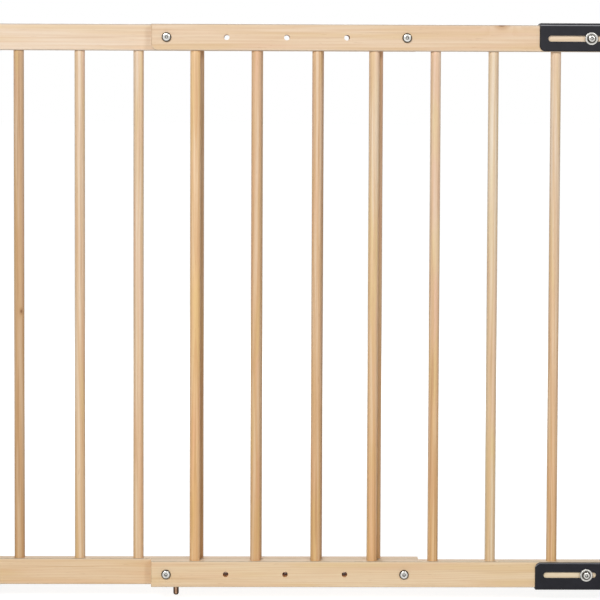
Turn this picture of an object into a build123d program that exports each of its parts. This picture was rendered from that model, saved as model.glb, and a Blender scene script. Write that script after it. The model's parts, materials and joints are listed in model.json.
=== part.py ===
from build123d import *
import os

# A wooden safety gate: two matching panels of rails and dowels, one turned round, bolted face to face.
# Slotted brackets hang it on wall hinges at one end, and sliding bolts latch it at the other.
# Millimetres. +X points at the hinge wall, +Y away from the bolt heads and +Z up.
# The origin is on the hinge wall, at the middle of the lower hinge plate.

# Panels
panel_height = 708
rail_height = 33
rail_depth = 20
rail_edge_radius = 2
rail_corner_radius = 8
dowel_diameter = 13
dowel_pitch = 75
dowel_count = 7
dowel_seat_depth = 16
dowel_end_gap = 0.5
dowel_end_chamfer = 0.6
inner_margin = 55
outer_margin = 63
bolt_margin = 19
bolt_hole_count = 5
bolt_hole_diameter = 7
# How far each dowel, from left to right, strays from the even pitch
front_dowel_wander = (0, 1.5, 2.5, -1.5, 0.5, -2, 1)
rear_dowel_wander = (-0.5, 1, 0, 1, 0, 1.5, 1)
seat_gap = 0.05

# Peg under the front bottom rail
peg_diameter = 7
peg_reach = 11
peg_seat_depth = 14
peg_tip_radius = 2.8
peg_from_inner_end = 31.4

# Fasteners, all with the same thread
shank_diameter = 6
shank_end_chamfer = 0.7
connector_head_diameter = 12
screw_head_diameter = 10.5
head_height = 3.6
head_edge_radius = 2.4
socket_width = 4
socket_depth = 2.2
nut_width = 10
nut_height = 5
nut_dome_diameter = 9
nut_dome_height = 4
nut_dome_radius = 3.6
nut_thread_depth = 7
shank_in_nut = 6
washer_diameter = 16
washer_thickness = 1.6
washer_edge_radius = 0.5
washer_gap = 0.05

# Slotted brackets
plate_thickness = 2.5
slide_gap = 0.3
bend_radius = 4
bracket_corner_radius = 7
bracket_rim_radius = 1.6
side_inset = 0.6
bracket_on_rail = 83.5
slot_length = 66.5
slot_height = 7.5
slot_from_bracket_end = 10.5
end_wall_thickness = 5
end_wall_clearance = 8

# Hinges
wall_plate_thickness = 5
wall_plate_width = 36
wall_plate_height = 70
wall_plate_corner_radius = 6
wall_plate_rim_radius = 1.2
wall_screw_spacing = 52
wall_screw_diameter = 5
wall_screw_sink_diameter = 9.6
hinge_stand_off = 23
rail_to_hinge_axis = 23
knuckle_diameter = 16
knuckle_height = 20
knuckle_web = 12
ear_thickness = 6
hinge_pin_diameter = 8
hinge_pin_head_diameter = 12
hinge_pin_head_height = 2.5
hinge_pin_tail = 2
running_gap = 0.08

# Latches
case_on_rail = 31
case_reach = 44
case_gap = 0.1
case_edge_radius = 1.5
latch_width = 12
latch_height = 14
latch_length = 40
latch_throw = 16
latch_inset = 0.5
latch_nose_chamfer = 3
stem_diameter = 5
stem_seat_depth = 6
stem_end_gap = 0.5
stem_from_nose = 25.5
knob_diameter = 14
knob_height = 6
knob_edge_radius = 0.5
knob_flute_count = 12
knob_flute_radius = 1
knob_gap = 0.5

# Strikes
strike_gap = 3
boss_depth = 10
boss_wall = 6
boss_corner_radius = 4
socket_clearance = 2

# Places worked out from the sizes above
dowel_seat_radius = dowel_diameter / 2 + seat_gap
panel_length = inner_margin + (dowel_count - 1) * dowel_pitch + outer_margin
holes_span = (bolt_hole_count - 1) * dowel_pitch
hinge_axis_x = -hinge_stand_off
front_right = hinge_axis_x - rail_to_hinge_axis
front_left = front_right - panel_length
rear_right = front_left + 2 * bolt_margin + holes_span
rear_left = rear_right - panel_length
front_y = 0
rear_y = rail_depth
bottom_z = 0
top_z = panel_height - rail_height
middle_z = (bottom_z + top_z) / 2
front_face_y = front_y - rail_depth / 2
rear_face_y = rear_y + rail_depth / 2
peg_x = front_left + peg_from_inner_end
clamp_x = front_right - bolt_margin
case_screw_x = rear_left + bolt_margin
front_hole_xs = [front_left + bolt_margin + dowel_pitch * k for k in range(bolt_hole_count)]
rear_hole_xs = [rear_right - bolt_margin - dowel_pitch * k for k in range(bolt_hole_count)]
front_first_dowel = front_left + inner_margin
rear_first_dowel = rear_left + outer_margin
front_dowel_xs = [front_first_dowel + dowel_pitch * k + w for k, w in enumerate(front_dowel_wander)]
rear_dowel_xs = [rear_first_dowel + dowel_pitch * k + w for k, w in enumerate(rear_dowel_wander)]

# Turns that point a fastener's own +Z at the front, the back or one of the walls
FACING_FRONT = (90, 0, 0)
FACING_BACK = (-90, 0, 0)
FACING_HINGE_WALL = (0, 90, 0)
FACING_STRIKE_WALL = (0, -90, 0)

os.makedirs("parts", exist_ok=True)


def save(node, name):
    node.part.label = name
    export_step(node.part, f"parts/{name}.step")


def make_rail(name, left, inner_end, middle_y, dowel_xs, hole_xs, rail_z, up, peg_xs=()):
    """A rail with rounded edges, dowel seats in its inner edge and bolt holes through its depth.

    up is +1 for a bottom rail, whose seats open upwards, and -1 for a top rail, which also has
    its lower corner at the inner end rounded off. Pegs are seated in the rail's underside.
    """
    right = left + panel_length
    with BuildPart() as rail:
        with BuildSketch(Plane.XZ.offset(rail_depth / 2 - middle_y)) as side:
            with Locations(((left + right) / 2, rail_z)):
                Rectangle(panel_length, rail_height)
            if up < 0:
                lower_corners = side.vertices().group_by(Axis.Y)[0].sort_by(Axis.X)
                corner = lower_corners[0] if inner_end == left else lower_corners[-1]
                fillet(corner, rail_corner_radius)
        extrude(amount=-rail_depth)
        front_and_back = rail.faces().filter_by(Axis.Y)
        fillet(front_and_back.edges(), rail_edge_radius)
        with BuildSketch(Plane.XY.offset(rail_z + up * rail_height / 2)):
            with Locations(*[(x, middle_y) for x in dowel_xs]):
                Circle(dowel_seat_radius)
        extrude(amount=-up * dowel_seat_depth, mode=Mode.SUBTRACT)
        with BuildSketch(Plane.XZ.offset(rail_depth / 2 - middle_y)):
            with Locations(*[(x, rail_z) for x in hole_xs]):
                Circle(bolt_hole_diameter / 2)
        extrude(amount=-rail_depth, mode=Mode.SUBTRACT)
        for x in peg_xs:
            with BuildSketch(Plane.XY.offset(rail_z - rail_height / 2)):
                with Locations((x, middle_y)):
                    Circle(peg_diameter / 2 + seat_gap)
            extrude(amount=peg_seat_depth + dowel_end_gap, mode=Mode.SUBTRACT)
    save(rail, name)


def make_dowel(name, x, y):
    seat_floor = rail_height / 2 - dowel_seat_depth
    foot = bottom_z + seat_floor + dowel_end_gap
    head = top_z - seat_floor - dowel_end_gap
    with BuildPart() as dowel:
        with BuildSketch(Plane.XY.offset(foot)):
            with Locations((x, y)):
                Circle(dowel_diameter / 2)
        extrude(amount=head - foot)
        chamfer(dowel.edges().filter_by(GeomType.CIRCLE), dowel_end_chamfer)
    save(dowel, name)


def make_peg():
    underside = bottom_z - rail_height / 2
    with BuildPart() as peg:
        with BuildSketch(Plane.XY.offset(underside - peg_reach)):
            with Locations((peg_x, front_y)):
                Circle(peg_diameter / 2)
        extrude(amount=peg_reach + peg_seat_depth)
        tip = peg.edges().group_by(Axis.Z)[0]
        fillet(tip, peg_tip_radius)
    save(peg, "underside_peg")


def bolt_shape(head_diameter, shank_length):
    """A low round head with a hex socket. It sits on its own XY plane and its shank runs down."""
    with BuildPart() as bolt:
        with BuildSketch():
            Circle(head_diameter / 2)
        extrude(amount=head_height)
        fillet(bolt.edges().group_by(Axis.Z)[-1], head_edge_radius)
        with BuildSketch(Plane.XY.offset(head_height)):
            RegularPolygon(socket_width / 2, 6, major_radius=False)
        extrude(amount=-socket_depth, mode=Mode.SUBTRACT)
        with BuildSketch():
            Circle(shank_diameter / 2)
        extrude(amount=-shank_length)
        chamfer(bolt.edges().group_by(Axis.Z)[0], shank_end_chamfer)
    return bolt.part


def cap_nut_shape():
    """A domed nut that sits on its own XY plane and rises from it."""
    with BuildPart() as nut:
        with BuildSketch():
            RegularPolygon(nut_width / 2, 6, major_radius=False)
        extrude(amount=nut_height)
        with BuildSketch(Plane.XY.offset(nut_height)):
            Circle(nut_dome_diameter / 2)
        extrude(amount=nut_dome_height)
        fillet(nut.edges().group_by(Axis.Z)[-1], nut_dome_radius)
        with BuildSketch():
            Circle(shank_diameter / 2 + seat_gap)
        extrude(amount=nut_thread_depth, mode=Mode.SUBTRACT)
    return nut.part


def washer_shape():
    with BuildPart() as washer:
        with BuildSketch():
            Circle(washer_diameter / 2)
            Circle(shank_diameter / 2 + slide_gap, mode=Mode.SUBTRACT)
        extrude(amount=washer_thickness)
        outer_edge = washer.edges().group_by(Axis.Z)[-1].sort_by(SortBy.RADIUS)[-1]
        fillet(outer_edge, washer_edge_radius)
    return washer.part


def make_group(name, shape, points, turn):
    """Copies of one fastener, as separate solids in one node."""
    with BuildPart() as group:
        with Locations(*[Location(point, turn) for point in points]):
            add(shape)
    save(group, name)


def rail_points(xs, y):
    """Points at the middle of both rails' height."""
    return [(x, y, z) for x in xs for z in (bottom_z, top_z)]


def make_connectors():
    """The bolts that hold the two panels together, through their first and last shared holes."""
    xs = (front_hole_xs[0], front_hole_xs[-1])
    nut_seat_y = rear_face_y + washer_thickness
    bolt = bolt_shape(connector_head_diameter, nut_seat_y - front_face_y + shank_in_nut)
    make_group("connector_bolts", bolt, rail_points(xs, front_face_y), FACING_FRONT)
    make_group("connector_washers", washer_shape(), rail_points(xs, rear_face_y), FACING_BACK)
    make_group("connector_nuts", cap_nut_shape(), rail_points(xs, nut_seat_y), FACING_BACK)


def make_clamps():
    """The screws that clamp the slotted brackets to the rails, with a washer on each side."""
    xs = (clamp_x,)
    bracket_face = rail_depth / 2 + slide_gap + plate_thickness + washer_gap
    seat = bracket_face + washer_thickness
    screw = bolt_shape(screw_head_diameter, 2 * seat + shank_in_nut)
    make_group("clamp_screws", screw, rail_points(xs, front_y - seat), FACING_FRONT)
    make_group("clamp_front_washers", washer_shape(), rail_points(xs, front_y - bracket_face), FACING_FRONT)
    make_group("clamp_back_washers", washer_shape(), rail_points(xs, front_y + bracket_face), FACING_BACK)
    make_group("clamp_nuts", cap_nut_shape(), rail_points(xs, front_y + seat), FACING_BACK)


def make_case_screws():
    """The screws that hold the latch cases on the rails."""
    xs = (case_screw_x,)
    case_face = rail_depth / 2 + case_gap + plate_thickness
    screw = bolt_shape(screw_head_diameter, 2 * case_face + shank_in_nut)
    make_group("latch_case_screws", screw, rail_points(xs, rear_y - case_face), FACING_FRONT)
    make_group("latch_case_nuts", cap_nut_shape(), rail_points(xs, rear_y + case_face), FACING_BACK)


def make_slot_brackets():
    """Folded over the outer edge of a rail, slotted for the clamp screw, with a hinge knuckle at its end."""
    left = front_right - bracket_on_rail
    wall_left = front_right + end_wall_clearance
    wall_right = wall_left + end_wall_thickness
    inner_width = rail_depth + 2 * slide_gap
    outer_width = inner_width + 2 * plate_thickness
    low = top_z - rail_height / 2 + side_inset
    fold = top_z + rail_height / 2 + slide_gap
    high = fold + plate_thickness
    slot_x = left + slot_from_bracket_end + slot_length / 2
    with BuildPart() as upper:
        with BuildSketch(Plane.YZ.offset(left)):
            with Locations((front_y, (low + high) / 2)):
                Rectangle(outer_width, high - low)
            with Locations((front_y, (low + fold) / 2)):
                Rectangle(inner_width, fold - low, mode=Mode.SUBTRACT)
        extrude(amount=wall_right - left)
        fillet(upper.edges().filter_by(Axis.X).group_by(Axis.Z)[-1], bend_radius)
        lower_corners = upper.edges().filter_by(Axis.Y).group_by(Axis.Z)[0]
        fillet(lower_corners.group_by(Axis.X)[0], bracket_corner_radius)
        sides = upper.faces().filter_by(Axis.Y).sort_by(Axis.Y)
        rims = [edge for side in (sides[0], sides[-1]) for edge in side.edges().sort_by(Axis.Z)[:-1]]
        fillet(rims, bracket_rim_radius)
        with BuildSketch(Plane.YZ.offset(wall_left)):
            with Locations((front_y, (low + fold) / 2)):
                Rectangle(inner_width, fold - low)
        extrude(amount=end_wall_thickness)
        with BuildSketch(Plane.XZ.offset(-front_y)):
            with Locations((slot_x, top_z)):
                SlotOverall(slot_length, slot_height)
        extrude(amount=outer_width, both=True, mode=Mode.SUBTRACT)
        with BuildSketch(Plane.XY.offset(top_z - knuckle_height / 2)):
            with Locations(((wall_left + hinge_axis_x) / 2, front_y)):
                Rectangle(hinge_axis_x - wall_left, knuckle_web)
            with Locations((hinge_axis_x, front_y)):
                Circle(knuckle_diameter / 2)
                Circle(hinge_pin_diameter / 2 + running_gap, mode=Mode.SUBTRACT)
        extrude(amount=knuckle_height)
    save(upper, "upper_slot_bracket")
    with BuildPart() as lower:
        mirror(upper.part, about=Plane.XY.offset(middle_z))
    save(lower, "lower_slot_bracket")


def wall_screw_points(x, y, z):
    """The two wall screws of a plate, above and below its middle."""
    return [(x, y, z + side * wall_screw_spacing / 2) for side in (-1, 1)]


def make_hinge_plate(name, z):
    """A wall plate with two ears that hold the hinge pin above and below a bracket's knuckle."""
    ear_foot = knuckle_height / 2 + slide_gap
    with BuildPart() as plate:
        with BuildSketch(Plane.YZ.offset(-wall_plate_thickness)):
            with Locations((front_y, z)):
                RectangleRounded(wall_plate_width, wall_plate_height, wall_plate_corner_radius)
        extrude(amount=wall_plate_thickness)
        fillet(plate.faces().sort_by(Axis.X)[0].edges(), wall_plate_rim_radius)
        for ear_low in (z + ear_foot, z - ear_foot - ear_thickness):
            with BuildSketch(Plane.XY.offset(ear_low)):
                with Locations(((hinge_axis_x - wall_plate_thickness) / 2, front_y)):
                    Rectangle(hinge_stand_off - wall_plate_thickness, knuckle_diameter)
                with Locations((hinge_axis_x, front_y)):
                    Circle(knuckle_diameter / 2)
            extrude(amount=ear_thickness)
        with BuildSketch(Plane.XY.offset(z)):
            with Locations((hinge_axis_x, front_y)):
                Circle(hinge_pin_diameter / 2 + seat_gap)
        extrude(amount=wall_plate_height, both=True, mode=Mode.SUBTRACT)
        screw_points = wall_screw_points(-wall_plate_thickness, front_y, z)
        with Locations(*[Location(point, FACING_STRIKE_WALL) for point in screw_points]):
            CounterSinkHole(wall_screw_diameter / 2, wall_screw_sink_diameter / 2, wall_plate_thickness)
    save(plate, name)


def make_hinge_pin(name, z):
    ear_top = z + knuckle_height / 2 + slide_gap + ear_thickness
    ear_bottom = 2 * z - ear_top
    with BuildPart() as pin:
        with BuildSketch(Plane.XY.offset(ear_bottom - hinge_pin_tail)):
            with Locations((hinge_axis_x, front_y)):
                Circle(hinge_pin_diameter / 2)
        extrude(amount=ear_top - ear_bottom + hinge_pin_tail)
        chamfer(pin.edges().group_by(Axis.Z)[0], shank_end_chamfer)
        with BuildSketch(Plane.XY.offset(ear_top)):
            with Locations((hinge_axis_x, front_y)):
                Circle(hinge_pin_head_diameter / 2)
        extrude(amount=hinge_pin_head_height)
        fillet(pin.edges().group_by(Axis.Z)[-1], hinge_pin_head_height / 2)
    save(pin, name)


def make_latch_cases():
    """A cap folded over the rail's outer end, whose solid nose guides the latch bolt."""
    nose_left = rear_left - case_reach
    nose_right = rear_left - case_gap
    cap_right = rear_left + case_on_rail
    inner_width = rail_depth + 2 * case_gap
    outer_width = inner_width + 2 * plate_thickness
    low = top_z - rail_height / 2
    fold = top_z + rail_height / 2 + case_gap
    high = fold + plate_thickness
    channel_length = latch_inset + latch_length + latch_inset
    track_length = latch_throw + stem_diameter + 2 * slide_gap
    track_middle = nose_left + latch_inset + stem_from_nose - latch_throw / 2
    with BuildPart() as upper:
        with BuildSketch(Plane.YZ.offset(nose_left)):
            with Locations((rear_y, (low + high) / 2)):
                Rectangle(outer_width, high - low)
        extrude(amount=cap_right - nose_left)
        fillet(upper.faces().filter_by(Axis.Y).edges(), case_edge_radius)
        with BuildSketch(Plane.YZ.offset(nose_right)):
            with Locations((rear_y, (low + fold) / 2)):
                Rectangle(inner_width, fold - low)
        extrude(amount=cap_right - nose_right, mode=Mode.SUBTRACT)
        with BuildSketch(Plane.YZ.offset(nose_left)):
            with Locations((rear_y, top_z)):
                Rectangle(latch_width + 2 * slide_gap, latch_height + 2 * slide_gap)
        extrude(amount=channel_length, mode=Mode.SUBTRACT)
        with BuildSketch(Plane.XZ.offset(-rear_y)):
            with Locations((track_middle, top_z)):
                SlotOverall(track_length, stem_diameter + 2 * slide_gap)
        extrude(amount=outer_width, mode=Mode.SUBTRACT)
        with BuildSketch(Plane.XZ.offset(-rear_y)):
            with Locations((case_screw_x, top_z)):
                Circle(bolt_hole_diameter / 2)
        extrude(amount=outer_width, both=True, mode=Mode.SUBTRACT)
    save(upper, "upper_latch_case")
    with BuildPart() as lower:
        mirror(upper.part, about=Plane.XY.offset(middle_z))
    save(lower, "lower_latch_case")


def make_latch(place, z):
    """A slide bolt, drawn back into its case, and the thumb knob screwed into its side."""
    nose = rear_left - case_reach + latch_inset
    stem_x = nose + stem_from_nose
    case_face_y = rear_y - rail_depth / 2 - case_gap - plate_thickness
    stem_end_y = rear_y - latch_width / 2 + stem_seat_depth - stem_end_gap
    knob_seat_y = case_face_y - knob_gap
    with BuildPart() as latch:
        with BuildSketch(Plane.YZ.offset(nose)):
            with Locations((rear_y, z)):
                Rectangle(latch_width, latch_height)
        extrude(amount=latch_length)
        chamfer(latch.faces().sort_by(Axis.X)[0].edges().filter_by(Axis.Z), latch_nose_chamfer)
        with BuildSketch(Plane.XZ.offset(latch_width / 2 - rear_y)):
            with Locations((stem_x, z)):
                Circle(stem_diameter / 2 + seat_gap)
        extrude(amount=-stem_seat_depth, mode=Mode.SUBTRACT)
    save(latch, f"{place}_latch_bolt")
    with BuildPart() as knob:
        with BuildSketch(Plane.XZ.offset(-knob_seat_y)):
            with Locations((stem_x, z)):
                Circle(knob_diameter / 2)
                with PolarLocations(knob_diameter / 2, knob_flute_count):
                    Circle(knob_flute_radius, mode=Mode.SUBTRACT)
        extrude(amount=knob_height)
        fillet(knob.faces().sort_by(Axis.Y)[0].edges(), knob_edge_radius)
        with BuildSketch(Plane.XZ.offset(-knob_seat_y)):
            with Locations((stem_x, z)):
                Circle(stem_diameter / 2)
        extrude(amount=knob_seat_y - stem_end_y)
    save(knob, f"{place}_latch_knob")


def make_strike(name, z):
    """A wall plate with a raised socket that takes the end of a latch bolt."""
    boss_left = rear_left - case_reach - strike_gap - boss_depth
    wall_x = boss_left - wall_plate_thickness
    hole_width = latch_width + 2 * socket_clearance
    hole_height = latch_height + 2 * socket_clearance
    boss_width = hole_width + 2 * boss_wall
    boss_height = hole_height + 2 * boss_wall
    with BuildPart() as strike:
        with BuildSketch(Plane.YZ.offset(wall_x)):
            with Locations((rear_y, z)):
                RectangleRounded(wall_plate_width, wall_plate_height, wall_plate_corner_radius)
        extrude(amount=wall_plate_thickness)
        fillet(strike.faces().sort_by(Axis.X)[-1].edges(), wall_plate_rim_radius)
        with BuildSketch(Plane.YZ.offset(boss_left)):
            with Locations((rear_y, z)):
                RectangleRounded(boss_width, boss_height, boss_corner_radius)
        extrude(amount=boss_depth)
        fillet(strike.faces().sort_by(Axis.X)[-1].edges(), wall_plate_rim_radius)
        with BuildSketch(Plane.YZ.offset(wall_x)):
            with Locations((rear_y, z)):
                Rectangle(hole_width, hole_height)
        extrude(amount=wall_plate_thickness + boss_depth, mode=Mode.SUBTRACT)
        screw_points = wall_screw_points(boss_left, rear_y, z)
        with Locations(*[Location(point, FACING_HINGE_WALL) for point in screw_points]):
            CounterSinkHole(wall_screw_diameter / 2, wall_screw_sink_diameter / 2, wall_plate_thickness)
    save(strike, name)


# Panels
front_panel = (front_left, front_left, front_y, front_dowel_xs, [*front_hole_xs, clamp_x])
rear_panel = (rear_left, rear_right, rear_y, rear_dowel_xs, [*rear_hole_xs, case_screw_x])
make_rail("front_top_rail", *front_panel, top_z, -1)
make_rail("front_bottom_rail", *front_panel, bottom_z, 1, [peg_x])
make_rail("rear_top_rail", *rear_panel, top_z, -1)
make_rail("rear_bottom_rail", *rear_panel, bottom_z, 1)
for number, dowel_x in enumerate(front_dowel_xs, start=1):
    make_dowel(f"front_dowel_{number}", dowel_x, front_y)
for number, dowel_x in enumerate(rear_dowel_xs, start=1):
    make_dowel(f"rear_dowel_{number}", dowel_x, rear_y)
make_peg()
make_connectors()

# Hinge end
make_slot_brackets()
make_clamps()
for place, z in (("upper", top_z), ("lower", bottom_z)):
    make_hinge_plate(f"{place}_hinge_plate", z)
    make_hinge_pin(f"{place}_hinge_pin", z)

# Latch end
make_latch_cases()
make_case_screws()
for place, z in (("upper", top_z), ("lower", bottom_z)):
    make_latch(place, z)
    make_strike(f"{place}_strike", z)
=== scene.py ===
import json
import math
from typing import NamedTuple

import bpy
from mathutils import Matrix, Vector


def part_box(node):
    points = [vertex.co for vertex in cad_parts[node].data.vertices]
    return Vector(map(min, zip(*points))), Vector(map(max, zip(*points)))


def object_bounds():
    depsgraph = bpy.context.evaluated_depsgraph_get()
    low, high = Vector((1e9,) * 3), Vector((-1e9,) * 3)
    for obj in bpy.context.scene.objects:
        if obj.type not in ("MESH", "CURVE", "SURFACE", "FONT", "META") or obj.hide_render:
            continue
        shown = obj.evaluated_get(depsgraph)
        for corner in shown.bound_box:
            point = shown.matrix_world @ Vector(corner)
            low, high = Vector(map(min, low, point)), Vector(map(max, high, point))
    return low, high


# Looks for the wooden safety gate: lacquered pine, moulded brackets and plated hardware on a white floor.
# Metres, in the frame of the solids: +X to the hinge wall, +Y away from the bolt heads, +Z up.
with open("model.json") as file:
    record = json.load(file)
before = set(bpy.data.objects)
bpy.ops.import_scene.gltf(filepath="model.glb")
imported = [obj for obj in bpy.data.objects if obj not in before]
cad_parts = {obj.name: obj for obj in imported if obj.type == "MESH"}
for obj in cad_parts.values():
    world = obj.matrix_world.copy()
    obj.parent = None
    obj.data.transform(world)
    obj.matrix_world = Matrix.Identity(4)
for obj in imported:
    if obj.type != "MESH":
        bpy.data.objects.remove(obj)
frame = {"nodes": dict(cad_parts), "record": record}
cad_low, cad_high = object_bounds()


class Lamp(NamedTuple):
    """A rectangular lamp."""
    name: str
    place: tuple
    size: tuple
    power: float


class Layer(NamedTuple):
    """A noise in the wood, of so many features per metre across and along the grain.

    It starts to show at one of its values and is full at another, where its strength is its share and what
    the piece's figure adds to it.
    """
    across: float
    along: float
    detail: float
    start: float
    full: float
    share: float = 1.0
    by_figure: float = 0.0
    roughness: float = 0.5


class Knot(NamedTuple):
    """A knot in the wood."""
    middle: tuple
    radius: float


class Metal(NamedTuple):
    """A metal's tones, 0 to 255, its least roughness, and whether it has a painted dark reflection where it
    turns away from Y.
    """
    name: str
    bright: tuple
    dull: tuple
    roughness: float
    painted_dark_flanks: bool


# Camera, level with the upper part of the gate and close to its middle
CAMERA_PLACE = (-0.4787, -3.366, 0.600)
CAMERA_YAW = math.radians(0.871)
CAMERA_PITCH = math.radians(-3.342)
CAMERA_ROLL = math.radians(0.221)
SENSOR_WIDTH = 36.0
LENS = 161.1
SHIFT_UP = -0.0756

# Lamps, all aimed at the middle of the gate
LAMPS = (
    Lamp("key", place=(-1.79, -5.0, 2.75), size=(1.9, 1.4), power=176.0),
    Lamp("side", place=(1.74, -5.0, 2.47), size=(0.95, 0.95), power=60.0),
    Lamp("back", place=(-0.45, 3.0, 2.4), size=(1.6, 0.9), power=50.0),
)
LAMP_AIM = (-0.45, 0.0, 0.35)
# The white backdrop lights the gate only this much
WORLD_FILL = 0.06
WHITE = (1.0, 1.0, 1.0, 1.0)

# Floor, which whitens to the backdrop away from the gate
FLOOR_DROP = 0.001
FLOOR_SIDE = 120.0
FLOOR_COLOUR = (0.50, 0.50, 0.50, 1.0)
NEAR_WHITENING = 0.78
FAR_WHITENING = 0.98
NEAR_REACH = 0.6
FAR_REACH = 3.0
# The share of the whitening that also lights the gate from below
FLOOR_BOUNCE = 0.36

# A step, such as LATE_IN, gives 0 at its first value and 1 at its second, and changes smoothly between them.
# Where it gives something else at the two, that comes after them.

# Pine tones, as they look in plain white light, 0 to 255
CREAM = (234, 210, 184)
BISQUE = (229, 201, 170)
MAIZE = (235, 207, 170)
WHEAT = (231, 200, 162)
STRAW = (237, 213, 184)
ROSE = (228, 196, 162)
HONEY = (239, 205, 166)
UMBER = (214, 183, 150)
PEARL = (236, 218, 194)
TONES = {
    "front_top_rail": BISQUE,
    "front_bottom_rail": MAIZE,
    "rear_top_rail": CREAM,
    "rear_bottom_rail": WHEAT,
    "front_dowel_1": HONEY,
    "front_dowel_2": ROSE,
    "front_dowel_3": ROSE,
    "front_dowel_4": STRAW,
    "front_dowel_5": CREAM,
    "front_dowel_6": PEARL,
    "front_dowel_7": CREAM,
    "rear_dowel_1": UMBER,
    "rear_dowel_2": CREAM,
    "rear_dowel_3": CREAM,
    # rear_dowel_4's dark UMBER is partly painted shade, for the front dowel's shadow on it
    "rear_dowel_4": UMBER,
    "rear_dowel_5": WHEAT,
    "rear_dowel_6": UMBER,
    "rear_dowel_7": ROSE,
}

# Parts of the wood, as multiples of the tone's red, green and blue in linear light
PALE = (1.06, 1.10, 1.15)
LATE = (0.90, 0.79, 0.64)
RESIN = (0.66, 0.50, 0.35)
KNOT_CORE = (0.36, 0.22, 0.13)
SAWN = (0.76, 0.69, 0.60)
# Painted light on a rail: shade with a grey sheen on its rims, and a highlight on its shoulders
RIM_SHADE_AND_SHEEN = (0.74, 0.82, 0.93)
SHOULDER_HIGHLIGHT = (1.06, 1.12, 1.20)
# Painted shade inside a rail's drilled holes
HOLE_SHADE = (1.0, 0.76, 0.48)
# Patches in the wood, which a piece has as far as it is figured
ROSY = (1.04, 0.93, 0.91)
GOLDEN = (1.02, 1.0, 0.78)
DOWEL_FIGURE = 1.0
RAIL_FIGURE = 0.4

# The log: how far the pith lies from the piece, the width of a year's ring and how much it varies by piece
LOG_DISTANCE = 0.075
RAIL_RING = 0.0028
DOWEL_RING = 0.0044
RING_SPREAD = 0.25
# How far the rings sway and ripple, with the features per metre across and along the grain, and how far the
# grain leans out of line in a metre
SWAY = 0.011
SWAY_SCALE = (9.0, 9.0, 2.6)
RIPPLE = 0.0022
RIPPLE_SCALE = (70.0, 70.0, 9.0)
RUN_OUT = 0.012
# What changes from piece to piece, so that no two are alike: three turns in radians, and a way along the log
PITH_TURN = 2.4
LEAN_TURN = 1.7
RING_TURN = 5.3
LOG_STRIDE = 3.1
# A year's late wood, as steps within its ring, and how strongly it shows
LATE_IN = (0.30, 0.86)
LATE_OUT = (1.0, 0.92)
RING_SHARE = 0.65

# Layers of the wood's figure
PATCH = Layer(across=60.0, along=9.0, detail=2.0, start=0.38, full=0.62)
DRIFT = Layer(across=110.0, along=5.0, detail=1.0, start=0.36, full=0.62)
STRAND = Layer(across=420.0, along=6.0, detail=2.0, start=0.44, full=0.68, share=0.16, by_figure=0.45)
FIBRE = Layer(across=1300.0, along=22.0, detail=3.0, start=0.35, full=0.75, share=0.16, roughness=0.6)
FLECK = Layer(across=760.0, along=60.0, detail=2.0, start=0.66, full=0.74, share=0.30)
STREAK = Layer(across=300.0, along=5.0, detail=1.0, start=0.60, full=0.74, share=0.0, by_figure=0.55)

# Knots. A distance along the grain counts less, which draws them out. The other sizes are in their radii.
KNOTS = {
    "front_top_rail": Knot(middle=(-0.177, -0.009, 0.692), radius=0.0038),
    "rear_bottom_rail": Knot(middle=(-0.705, 0.030, 0.004), radius=0.0040),
    "rear_dowel_1": Knot(middle=(-0.7785, 0.0142, 0.330), radius=0.0017),
}
KNOT_ALONG = 0.6
KNOT_BEND_REACH = 5
KNOT_BEND = 1.6
KNOT_STAIN = 2.2
KNOT_STAIN_SHARE = 0.5
KNOT_DARK = 0.45
KNOT_DARK_SHARE = 0.8

# The dowels turn darker and yellower towards their feet, by a step of the height, and more on some
FOOT_TINT = (0.98, 0.91, 0.78, 1.0)
STRONG_FOOT_TINT = (0.95, 0.80, 0.60, 1.0)
STRONG_FOOT_DOWELS = ("front_dowel_4", "front_dowel_5", "front_dowel_7")
FOOT_HEIGHT = (0.60, 0.0)

# A rail's long edges, as steps of how far they face up or down, from 0 on its front to 1 on its top: a
# painted highlight on the shoulder comes first and painted shade with a grey sheen on the rim after it, and
# the flat top keeps some of that painted shade
SHOULDER_IN = (0.08, 0.25)
SHOULDER_OUT = (0.62, 0.50)
SHOULDER_SHARE = 0.7
RIM_IN = (0.50, 0.78)
RIM_OUT = (0.998, 0.97, 0.35)
RIM_SHARE = 0.9
# The front rails get painted light where the brackets cover them, against the brackets' shade, from a little
# inside the brackets' ends
SLOT_LIGHT = (1.12, 1.19, 1.26, 1.0)
COVER_MARGIN = 0.003
COVER_FADE = 0.012
FRONT_FACE = (-0.97, -0.99)
# A rail's drilled holes lie near its middle height and clear of its ends, and their walls face away from Y
HOLE_REACH = 0.006
HOLE_FADE = 0.0006
HOLE_END_MARGIN = 0.001
HOLE_WALL = (0.6, 0.3)
# The sawn ends of rails and dowels, by how far they face along the piece
SAWN_FACE = (0.92, 0.99)
# Satin lacquer, rougher over the fibres, with the relief of the fibres and of the rings in it
LACQUER_ROUGHNESS = (0.2, 0.8, 0.48, 0.62)
LACQUER_GLOSS = 0.34
FIBRE_RELIEF = 0.7
RING_RELIEF = 0.5
RELIEF_STRENGTH = 0.35
RELIEF_DEPTH = 0.00012

# Charcoal nylon: its tones, 0 to 255, and the features per metre of its skin and of the clouds on it
NYLON = (20, 20, 27)
NYLON_DUSTY = (26, 26, 33)
NYLON_WORN = (72, 72, 76)
NYLON_FOLD_HIGHLIGHT = (146, 146, 150)
SKIN_SCALE = (2600.0, 2600.0, 2600.0)
SKIN_STRENGTH = 0.25
SKIN_DEPTH = 0.00006
NYLON_CLOUD_SCALE = (90.0, 90.0, 90.0)
# Steps of the clouds, and its gloss
DUSTY_CLOUD = (0.35, 0.70)
NYLON_ROUGHNESS = (0.25, 0.75, 0.42, 0.50)
NYLON_GLOSS = 0.22
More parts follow.
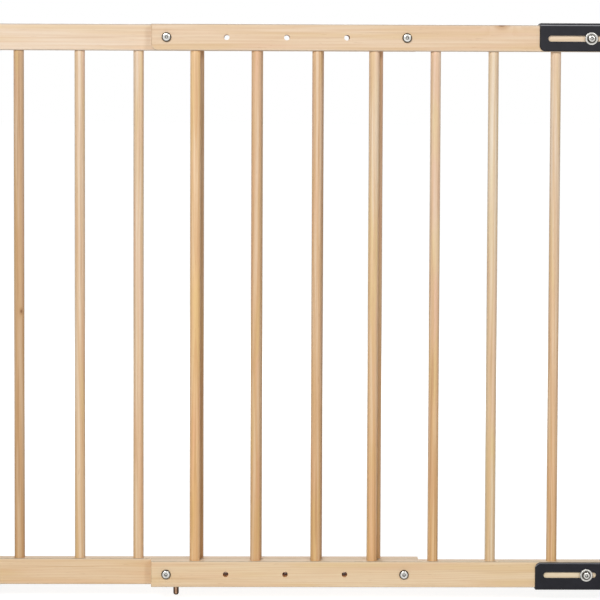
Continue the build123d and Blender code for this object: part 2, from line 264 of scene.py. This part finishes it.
# Its edges are worn over this width, by how far a rounded surface agrees with the true one there
WORN_WIDTH = 0.0009
WORN_TURN = (0.99, 0.80)
WORN_SHARE = 0.35
# Its upper front edges carry a painted highlight, by steps of how far they face up and forwards, and more so
# in the clouds
UPPER_EDGE_IN = (0.10, 0.20)
UPPER_EDGE_OUT = (0.50, 0.38)
FRONT_EDGE = (-0.3, -0.6)
FOLD_HIGHLIGHT_CLOUD = (0.2, 0.5, 0.75, 0.95)

# Metals
ZINC_HEADS = Metal("zinc_heads", (222, 221, 216), (188, 187, 183), roughness=0.16, painted_dark_flanks=True)
ZINC_PLATE = Metal("zinc_plate", (196, 196, 198), (164, 164, 166), roughness=0.24, painted_dark_flanks=False)
BRONZE = Metal("bronzed_steel", (186, 152, 126), (148, 116, 92), roughness=0.26, painted_dark_flanks=True)
# The features per metre of their clouds and scratches, with steps for what is dull or rougher there
METAL_CLOUD_SCALE = (400.0, 400.0, 400.0)
DULL_CLOUD = (0.3, 0.7)
ROUGH_CLOUD = (0.2, 0.8, 0.0, 0.08)
SCRATCH_SCALE = (5200.0, 900.0, 350.0)
ROUGH_SCRATCH = (0.55, 0.75, 0.0, 0.08)
SCRATCH_STRENGTH = 0.2
SCRATCH_DEPTH = 0.00003
# Painted dark reflections on flanks that turn away from Y, and painted shade with grime in corners within
# its reach: both are multiples of the dull tone
FLANK = (0.985, 0.86)
DARK_FLANK_REFLECTION = (0.16, 0.14, 0.12)
SHADE_AND_GRIME_REACH = 0.0019
SHADE_AND_GRIME_STEP = (0.90, 0.55)
SHADE_AND_GRIME = (0.08, 0.07, 0.06)
# Bolts, screws and washers, which show the bright zinc of their heads
HEADS = (
    "connector_bolts",
    "connector_washers",
    "clamp_screws",
    "clamp_front_washers",
    "clamp_back_washers",
    "latch_case_screws",
)


def linear(colour):
    """A display colour of 0 to 255 as linear light, by the sRGB curve."""
    def channel(value):
        share = value / 255
        if share <= 0.04045:
            return share / 12.92
        return ((share + 0.055) / 1.055) ** 2.4
    return (*[channel(value) for value in colour], 1.0)


def scaled(colour, shares, strength=1.0):
    """A linear colour with its channels multiplied, as far as the strength says."""
    channels = [part * (1.0 + (share - 1.0) * strength) for part, share in zip(colour, shares)]
    return (*channels, 1.0)


class Graph:
    """Short calls for building a material's nodes."""

    def __init__(self, tree):
        self.tree = tree
        tree.nodes.clear()

    def feed(self, socket, value):
        if isinstance(value, bpy.types.NodeSocket):
            self.tree.links.new(value, socket)
        else:
            socket.default_value = value

    def node(self, kind, inputs=None, **settings):
        node = self.tree.nodes.new("ShaderNode" + kind)
        for name, value in settings.items():
            setattr(node, name, value)
        for key, value in (inputs or {}).items():
            self.feed(node.inputs[key], value)
        return node

    def math(self, operation, first, second=0.0):
        return self.node("Math", {0: first, 1: second}, operation=operation).outputs[0]

    def product(self, first, second):
        return self.math("MULTIPLY", first, second)

    def magnitude(self, value):
        return self.math("ABSOLUTE", value)

    def vector(self, operation, first, second=(0.0, 0.0, 0.0)):
        return self.node("VectorMath", {0: first, 1: second}, operation=operation)

    def stretch(self, point, scale):
        return self.vector("MULTIPLY", point, scale).outputs["Vector"]

    def parts(self, vector):
        return self.node("SeparateXYZ", {0: vector}).outputs

    def noise(self, point, scale, detail, roughness=0.5):
        stretched = self.stretch(point, scale)
        inputs = {"Vector": stretched, "Scale": 1.0, "Detail": detail, "Roughness": roughness}
        return self.node("TexNoise", inputs).outputs[0]

    def step(self, value, low, high, start=0.0, end=1.0):
        """Smoothly from start to end as the value goes from low to high, whichever of these is larger."""
        inputs = {"Value": value, "From Min": low, "From Max": high, "To Min": start, "To Max": end}
        return self.node("MapRange", inputs, interpolation_type="SMOOTHSTEP").outputs[0]

    def band(self, value, way_in, way_out):
        """The part of a value's range that lies past one step and before another."""
        return self.product(self.step(value, *way_in), self.step(value, *way_out))

    def mix(self, share, first, second, blend="MIX"):
        # The node has sockets for each type of data: 6 and 7 are its colours, and output 2 their mixture
        inputs = {0: share, 6: first, 7: second}
        return self.node("Mix", inputs, data_type="RGBA", blend_type=blend).outputs[2]

    def bump(self, height, strength, distance):
        return self.node("Bump", {"Strength": strength, "Distance": distance, "Height": height}).outputs[0]

    def place(self):
        return self.node("TexCoord").outputs["Object"]

    def facing(self):
        return self.parts(self.node("TexCoord").outputs["Normal"])

    def surface(self, inputs):
        shader = self.node("BsdfPrincipled", inputs)
        self.node("OutputMaterial", {"Surface": shader.outputs[0]})


def new_graph(name):
    material = bpy.data.materials.new(name)
    material.use_nodes = True
    return material, Graph(material.node_tree)


def place_in_log(graph, name, seed, upright):
    """Where a point of the piece lay in the log it was cut from, whose pith runs along Z."""
    parts = graph.parts(graph.place())
    low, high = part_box(name)
    middle = (low + high) / 2
    if upright:
        across, deep, along = parts["X"], parts["Y"], parts["Z"]
        middle_across, middle_deep = middle.x, middle.y
    else:
        across, deep, along = parts["Y"], parts["Z"], parts["X"]
        middle_across, middle_deep = middle.y, middle.z
    angle = seed * PITH_TURN
    pith_across = middle_across + LOG_DISTANCE * math.cos(angle)
    pith_deep = middle_deep + LOG_DISTANCE * math.sin(angle)
    lean = graph.product(along, RUN_OUT * math.sin(seed * LEAN_TURN))
    from_pith = graph.math("SUBTRACT", graph.math("ADD", across, lean), pith_across)
    deep_from_pith = graph.math("SUBTRACT", deep, pith_deep)
    shifted_along = graph.math("ADD", along, seed * LOG_STRIDE)
    return graph.node("CombineXYZ", {0: from_pith, 1: deep_from_pith, 2: shifted_along}).outputs[0]


def late_wood(graph, wood, ring_width, push):
    """0 in the pale wood of spring, rising to 1 at the end of each year's ring."""
    radius = graph.vector("LENGTH", graph.stretch(wood, (1.0, 1.0, 0.0))).outputs["Value"]
    sway = graph.product(graph.noise(wood, SWAY_SCALE, detail=1.0), SWAY)
    ripple = graph.product(graph.noise(wood, RIPPLE_SCALE, detail=2.0), RIPPLE)
    radius = graph.math("ADD", graph.math("ADD", radius, sway), ripple)
    ring = graph.math("FRACT", graph.math("DIVIDE", graph.math("ADD", radius, push), ring_width))
    return graph.band(ring, LATE_IN, LATE_OUT)


def grain(graph, wood, layer):
    """The noise of a layer, drawn out along the grain."""
    scale = (layer.across, layer.across, layer.along)
    return graph.noise(wood, scale, layer.detail, layer.roughness)


def figured_wood(graph, wood, even, figure, rings):
    """Broad patches of colour, then rings, strands, fibres, and flecks and streaks of resin."""
    def shown(layer):
        strength = layer.share + layer.by_figure * figure
        return graph.step(grain(graph, wood, layer), layer.start, layer.full, 0.0, strength)

    late = scaled(even, LATE)
    resin = scaled(even, RESIN)
    colour = graph.mix(shown(PATCH), scaled(even, ROSY, figure), scaled(even, GOLDEN, figure))
    colour = graph.mix(shown(DRIFT), colour, scaled(even, PALE))
    colour = graph.mix(graph.product(rings, RING_SHARE * figure), colour, late)
    for layer, stain in ((STRAND, late), (FIBRE, late), (FLECK, resin), (STREAK, resin)):
        colour = graph.mix(shown(layer), colour, stain)
    return colour


def knot_distance(graph, knot, upright):
    """Distance from a knot, which is longer along the piece."""
    shape = (1.0, 1.0, KNOT_ALONG) if upright else (KNOT_ALONG, 1.0, 1.0)
    towards = graph.vector("SUBTRACT", graph.place(), knot.middle).outputs["Vector"]
    return graph.vector("LENGTH", graph.stretch(towards, shape)).outputs["Value"]


def knotted(graph, colour, even, knot, distance):
    """Adds the knot's resin stain and its dark core."""
    radius = knot.radius
    stain = graph.step(distance, radius * KNOT_STAIN, radius, 0.0, KNOT_STAIN_SHARE)
    dark = graph.step(distance, radius, radius * KNOT_DARK, 0.0, KNOT_DARK_SHARE)
    colour = graph.mix(stain, colour, scaled(even, RESIN))
    return graph.mix(dark, colour, scaled(even, KNOT_CORE))


def tinted_towards_foot(graph, name, colour):
    """Makes a dowel darker and yellower towards its foot."""
    height = graph.parts(graph.place())["Z"]
    tint = STRONG_FOOT_TINT if name in STRONG_FOOT_DOWELS else FOOT_TINT
    return graph.mix(graph.step(height, *FOOT_HEIGHT), colour, tint, "MULTIPLY")


def hole_walls(graph, name, ways):
    """1 on the walls of a rail's drilled holes, which run along Y through its middle, and 0 on its ends."""
    low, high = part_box(name)
    middle = (low + high) / 2
    clear_of_ends = (high.x - low.x) / 2 - HOLE_END_MARGIN
    offset = graph.vector("SUBTRACT", graph.place(), middle).outputs["Vector"]
    off = graph.parts(graph.vector("ABSOLUTE", offset).outputs["Vector"])
    near_middle = graph.step(off["Z"], HOLE_REACH, HOLE_REACH - HOLE_FADE)
    off_the_ends = graph.step(off["X"], clear_of_ends, clear_of_ends - HOLE_END_MARGIN)
    sideways = graph.step(graph.magnitude(ways["Y"]), *HOLE_WALL)
    return graph.product(graph.product(near_middle, off_the_ends), sideways)


def covered_front(graph, ways):
    """1 on the front of a rail where the brackets cover it."""
    to_the_right = graph.parts(graph.place())["X"]
    covered_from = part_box("upper_slot_bracket")[0].x + COVER_MARGIN
    covered = graph.step(to_the_right, covered_from, covered_from + COVER_FADE)
    return graph.product(covered, graph.step(ways["Y"], *FRONT_FACE))


def painted_rail_light(graph, name, colour, even, ways):
    """Paints light on a rail: a highlight on its shoulders, shade with a grey sheen on its rims and top,
    shade in its drilled holes and light on its front under the brackets.
    """
    turn = graph.magnitude(ways["Z"])
    shoulder = graph.band(turn, SHOULDER_IN, SHOULDER_OUT)
    rim = graph.band(turn, RIM_IN, RIM_OUT)
    # Painted highlight on the shoulders, then painted shade with a grey sheen on the rims and top
    colour = graph.mix(graph.product(shoulder, SHOULDER_SHARE), colour, scaled(even, SHOULDER_HIGHLIGHT))
    colour = graph.mix(graph.product(rim, RIM_SHARE), colour, scaled(even, RIM_SHADE_AND_SHEEN))
    # Painted shade inside the drilled holes
    colour = graph.mix(hole_walls(graph, name, ways), colour, scaled(even, HOLE_SHADE))
    # Painted light on the front under the brackets, against their shade
    return graph.mix(covered_front(graph, ways), colour, SLOT_LIGHT, "MULTIPLY")


def make_pine(name, tone, seed, upright, knot):
    """Lacquered pine with the grain along the piece, which is upright in a dowel and level in a rail."""
    material, graph = new_graph(name)
    wood = place_in_log(graph, name, seed, upright)
    ways = graph.facing()
    even = linear(tone)
    figure = DOWEL_FIGURE if upright else RAIL_FIGURE
    ring_width = (DOWEL_RING if upright else RAIL_RING) * (1 + RING_SPREAD * math.sin(seed * RING_TURN))
    push = 0.0
    if knot:
        distance = knot_distance(graph, knot, upright)
        push = graph.step(distance, knot.radius * KNOT_BEND_REACH, 0.0, 0.0, knot.radius * KNOT_BEND)
    rings = late_wood(graph, wood, ring_width, push)
    colour = figured_wood(graph, wood, even, figure, rings)
    if upright:
        colour = tinted_towards_foot(graph, name, colour)
        end_way = ways["Z"]
    else:
        colour = painted_rail_light(graph, name, colour, even, ways)
        end_way = ways["X"]
    colour = graph.mix(graph.step(graph.magnitude(end_way), *SAWN_FACE), colour, scaled(even, SAWN))
    if knot:
        colour = knotted(graph, colour, even, knot, distance)

    fibre = grain(graph, wood, FIBRE)
    relief = graph.math("ADD", graph.product(fibre, FIBRE_RELIEF), graph.product(rings, RING_RELIEF))
    graph.surface({
        "Base Color": colour,
        "Roughness": graph.step(fibre, *LACQUER_ROUGHNESS),
        "Normal": graph.bump(relief, RELIEF_STRENGTH, RELIEF_DEPTH),
        "Specular IOR Level": LACQUER_GLOSS,
    })
    return material


def edge_share(graph, width):
    """0 on flat ground, rising where the surface turns sharply within this width."""
    rounded = graph.node("Bevel", {"Radius": width}, samples=4).outputs[0]
    normal = graph.node("NewGeometry").outputs["Normal"]
    agreement = graph.vector("DOT_PRODUCT", rounded, normal).outputs["Value"]
    return graph.step(agreement, *WORN_TURN)


def make_plastic():
    """Charcoal moulded nylon with a fine spark-eroded skin, and a painted highlight along its upper front
    edges.
    """
    material, graph = new_graph("charcoal_nylon")
    skin = graph.noise(graph.place(), SKIN_SCALE, detail=2.0)
    cloud = graph.noise(graph.place(), NYLON_CLOUD_SCALE, detail=3.0)
    ways = graph.facing()
    # Painted highlight along the upper front edges, broken up by the clouds
    upper_edge = graph.band(ways["Z"], UPPER_EDGE_IN, UPPER_EDGE_OUT)
    front_edge = graph.product(upper_edge, graph.step(ways["Y"], *FRONT_EDGE))
    fold_highlight = graph.product(front_edge, graph.step(cloud, *FOLD_HIGHLIGHT_CLOUD))
    worn = graph.product(edge_share(graph, WORN_WIDTH), WORN_SHARE)
    colour = graph.mix(graph.step(cloud, *DUSTY_CLOUD), linear(NYLON), linear(NYLON_DUSTY))
    colour = graph.mix(worn, colour, linear(NYLON_WORN))
    colour = graph.mix(fold_highlight, colour, linear(NYLON_FOLD_HIGHLIGHT))
    graph.surface({
        "Base Color": colour,
        "Roughness": graph.step(cloud, *NYLON_ROUGHNESS),
        "Normal": graph.bump(skin, SKIN_STRENGTH, SKIN_DEPTH),
        "Specular IOR Level": NYLON_GLOSS,
    })
    return material


def make_metal(metal):
    """Plated metal with a clouded finish, fine scratches, and painted shade with grime in its corners."""
    material, graph = new_graph(metal.name)
    bright = linear(metal.bright)
    dull = linear(metal.dull)
    cloud = graph.noise(graph.place(), METAL_CLOUD_SCALE, detail=3.0)
    scratch = graph.noise(graph.place(), SCRATCH_SCALE, detail=2.0)
    occlusion = graph.node("AmbientOcclusion", {"Distance": SHADE_AND_GRIME_REACH}, samples=8).outputs["AO"]
    colour = graph.mix(graph.step(cloud, *DULL_CLOUD), bright, dull)
    # Painted dark reflection on the flanks that turn away from Y
    if metal.painted_dark_flanks:
        along_axis = graph.magnitude(graph.facing()["Y"])
        colour = graph.mix(graph.step(along_axis, *FLANK), colour, scaled(dull, DARK_FLANK_REFLECTION))
    # Painted shade, with grime, in corners within the occlusion's reach
    colour = graph.mix(graph.step(occlusion, *SHADE_AND_GRIME_STEP), colour, scaled(dull, SHADE_AND_GRIME))
    clouded = graph.math("ADD", graph.step(cloud, *ROUGH_CLOUD), metal.roughness)
    scratched = graph.step(scratch, *ROUGH_SCRATCH)
    graph.surface({
        "Base Color": colour,
        "Metallic": 1.0,
        "Roughness": graph.math("ADD", clouded, scratched),
        "Normal": graph.bump(scratch, SCRATCH_STRENGTH, SCRATCH_DEPTH),
    })
    return material


def paint(node, material):
    slots = frame["nodes"][node].data.materials
    slots.clear()
    slots.append(material)


def dress():
    """Gives every solid its material, by the record's material slot."""
    heads = make_metal(ZINC_HEADS)
    shared = {
        "black_plastic": make_plastic(),
        "zinc_steel": make_metal(ZINC_PLATE),
        "peg_metal": make_metal(BRONZE),
    }
    seed = 0
    for row in frame["record"]["subparts"]:
        node = row["node"]
        if row["material_slot"] == "pine":
            seed += 1
            paint(node, make_pine(node, TONES[node], seed, "dowel" in node, KNOTS.get(node)))
        elif node in HEADS:
            paint(node, heads)
        else:
            paint(node, shared[row["material_slot"]])


def seen_directly(graph, unseen):
    """1 for rays from the camera and those that mirror or pass on the background, and else unseen."""
    path = graph.node("LightPath").outputs
    mirrored = graph.math("MAXIMUM", path["Is Glossy Ray"], path["Is Transmission Ray"])
    seen = graph.math("MAXIMUM", path["Is Camera Ray"], mirrored)
    return graph.node("MapRange", {"Value": seen, "To Min": unseen, "To Max": 1.0}).outputs[0]


def make_world():
    world = bpy.data.worlds.new("studio")
    bpy.context.scene.world = world
    world.use_nodes = True
    graph = Graph(world.node_tree)
    light = graph.node("Background", {"Color": WHITE, "Strength": seen_directly(graph, WORLD_FILL)})
    graph.node("OutputWorld", {"Surface": light.outputs[0]})


def make_floor():
    half = FLOOR_SIDE / 2
    height = cad_low.z - FLOOR_DROP
    corners = [(-half, -half, height), (half, -half, height), (half, half, height), (-half, half, height)]
    mesh = bpy.data.meshes.new("floor")
    mesh.from_pydata(corners, [], [(0, 1, 2, 3)])
    floor = bpy.data.objects.new("floor", mesh)
    bpy.context.collection.objects.link(floor)
    material, graph = new_graph("white_floor")
    gate_foot = ((cad_low.x + cad_high.x) / 2, 0.0, height)
    away = graph.vector("DISTANCE", graph.place(), gate_foot).outputs["Value"]
    whitening = graph.step(away, NEAR_REACH, FAR_REACH, NEAR_WHITENING, FAR_WHITENING)
    strength = graph.product(seen_directly(graph, FLOOR_BOUNCE), whitening)
    paper = graph.node("BsdfDiffuse", {"Color": FLOOR_COLOUR})
    glow = graph.node("Emission", {"Color": WHITE, "Strength": strength})
    both = graph.node("AddShader", {0: paper.outputs[0], 1: glow.outputs[0]})
    graph.node("OutputMaterial", {"Surface": both.outputs[0]})
    mesh.materials.append(material)


def make_lamp(lamp):
    light = bpy.data.lights.new(lamp.name, "AREA")
    light.shape = "RECTANGLE"
    light.size, light.size_y = lamp.size
    light.energy = lamp.power
    holder = bpy.data.objects.new(lamp.name, light)
    holder.location = lamp.place
    holder.rotation_euler = (Vector(LAMP_AIM) - Vector(lamp.place)).to_track_quat("-Z", "Y").to_euler()
    bpy.context.collection.objects.link(holder)


def make_camera():
    forward = Vector((
        math.sin(CAMERA_YAW) * math.cos(CAMERA_PITCH),
        math.cos(CAMERA_YAW) * math.cos(CAMERA_PITCH),
        math.sin(CAMERA_PITCH),
    ))
    right = Vector((math.cos(CAMERA_YAW), -math.sin(CAMERA_YAW), 0.0))
    up = right.cross(forward)
    rolled_right = right * math.cos(CAMERA_ROLL) + up * math.sin(CAMERA_ROLL)
    rolled_up = up * math.cos(CAMERA_ROLL) - right * math.sin(CAMERA_ROLL)
    turn = Matrix((rolled_right, rolled_up, -forward)).transposed()
    lens = bpy.data.cameras.new("camera")
    lens.sensor_width = SENSOR_WIDTH
    lens.lens = LENS
    lens.shift_y = SHIFT_UP
    camera = bpy.data.objects.new("camera", lens)
    camera.matrix_world = Matrix.Translation(CAMERA_PLACE) @ turn.to_4x4()
    bpy.context.collection.objects.link(camera)
    bpy.context.scene.camera = camera


dress()
make_world()
make_floor()
for studio_lamp in LAMPS:
    make_lamp(studio_lamp)
make_camera()
bpy.context.scene.view_settings.view_transform = "Standard"
